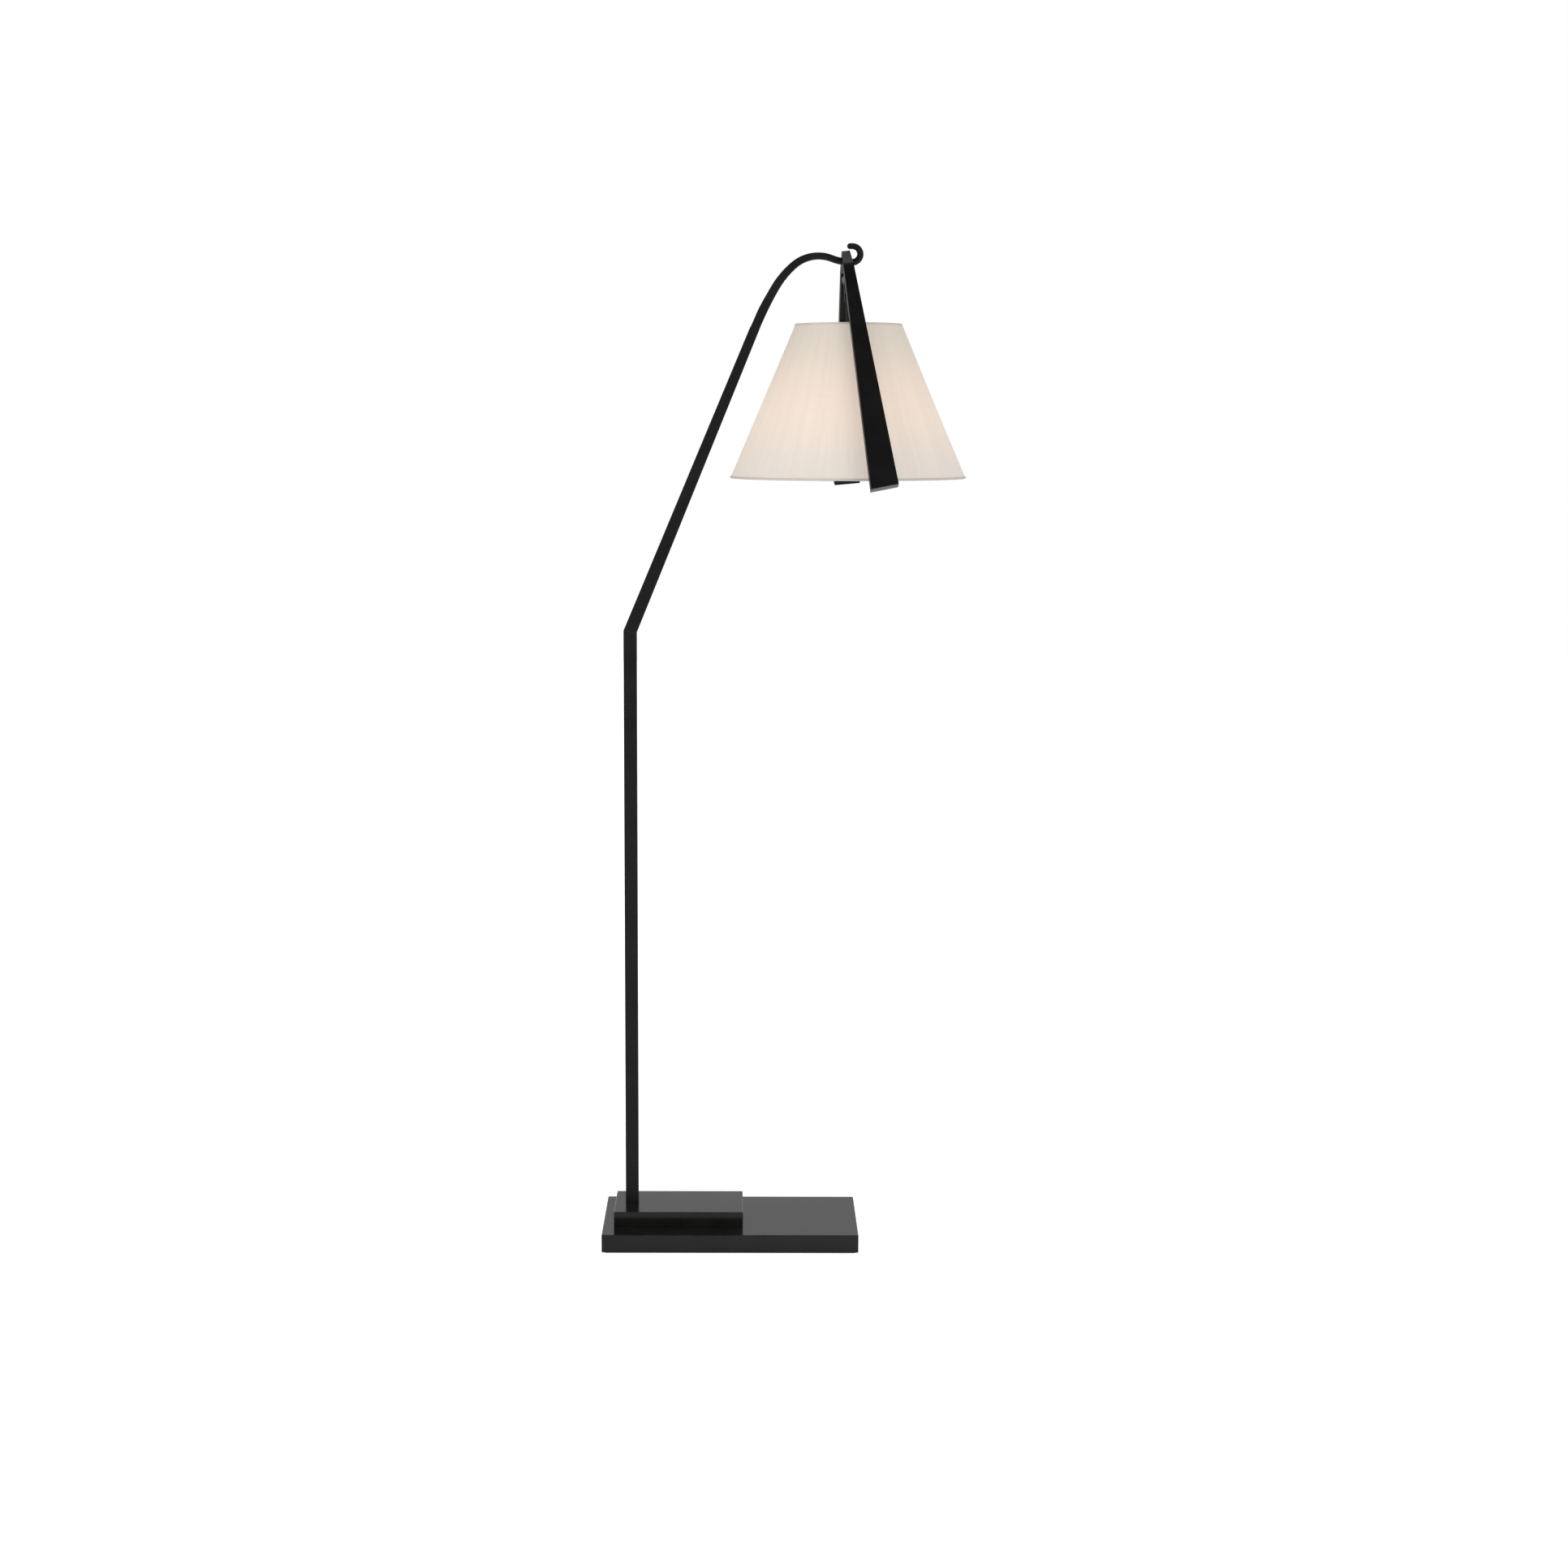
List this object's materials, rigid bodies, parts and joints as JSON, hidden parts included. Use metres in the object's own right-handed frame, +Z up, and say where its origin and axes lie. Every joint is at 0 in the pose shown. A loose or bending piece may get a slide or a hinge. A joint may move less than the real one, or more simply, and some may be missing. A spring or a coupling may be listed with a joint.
{
  "type": "bridge floor lamp",
  "caption": "Forged iron floor lamp: slab base, square post, arm that bends over to a curl, flared yoke hung on it, and a lit empire shade hung in the yoke.",
  "frame": {"origin": "centre of the base's footprint, on the floor", "axes": "+X from the post towards the shade, +Y away from the viewer of the picture, +Z up"},
  "size_m": [0.5308, 0.4384, 1.471],
  "materials": {
    "felt": "pressed felt",
    "base_iron": "satin black lacquer over flat steel",
    "forged_iron": "matt to satin black, faintly hammered",
    "yoke_iron": "matt to satin black",
    "hanger_iron": "satin black",
    "fixings": "plain zinc",
    "frame_wire": "off-white coated wire",
    "shade_cloth": "off-white slub linen on a translucent liner",
    "shade_tape": "narrow rolled trim",
    "holder_metal": "dull antique brass",
    "insulator": "moulded, matt black",
    "liner_card": "insulating card",
    "contact_brass": "bright brass",
    "bulb_metal": "bare",
    "lit_glass": "frosted white, lit"
  },
  "bodies": {
    "stand": {"felt_pad": "felt", "base_plate": "base_iron", "base_block": "base_iron", "block_screws": "fixings", "post_bolt": "fixings", "post_washer": "fixings", "post": "forged_iron", "arm": "forged_iron"},
    "yoke": {"yoke": "yoke_iron", "yoke_bridge": "yoke_iron", "hanger_fork": "hanger_iron", "hanger_nut": "hanger_iron", "hanger_pin": "hanger_iron"},
    "shade_head": {"hanger_stem": "hanger_iron", "stem_nuts": "hanger_iron", "spider": "frame_wire", "top_ring": "frame_wire", "bottom_ring": "frame_wire", "shade_fabric": "shade_cloth", "top_binding": "shade_tape", "bottom_binding": "shade_tape", "holder_cap": "holder_metal", "cord_bushing": "insulator", "holder_shell": "holder_metal", "holder_liner": "liner_card", "holder_core": "insulator", "screw_shell": "contact_brass", "centre_contact": "contact_brass", "bulb_cap": "bulb_metal", "bulb_glass": "lit_glass"},
    "switch": {"switch_shaft": "contact_brass", "switch_knob": "insulator"}
  },
  "joints": [
    {"name": "yoke_swing", "type": "hinge", "parent": "stand", "child": "yoke", "pos_m": [0.16634, 0, 1.44473], "axis": [0.9948, 0, -0.1016], "range_deg": [-25, 25]},
    {"name": "shade_hang", "type": "hinge", "parent": "yoke", "child": "shade_head", "pos_m": [0.17002, 0, 1.40176], "axis": [0, 1, 0], "range_deg": [-5, 5]},
    {"name": "switch_turn", "type": "hinge", "parent": "shade_head", "child": "switch", "pos_m": [0.17002, 0, 1.31816], "axis": [0, 1, 0], "continuous": true}
  ]
}
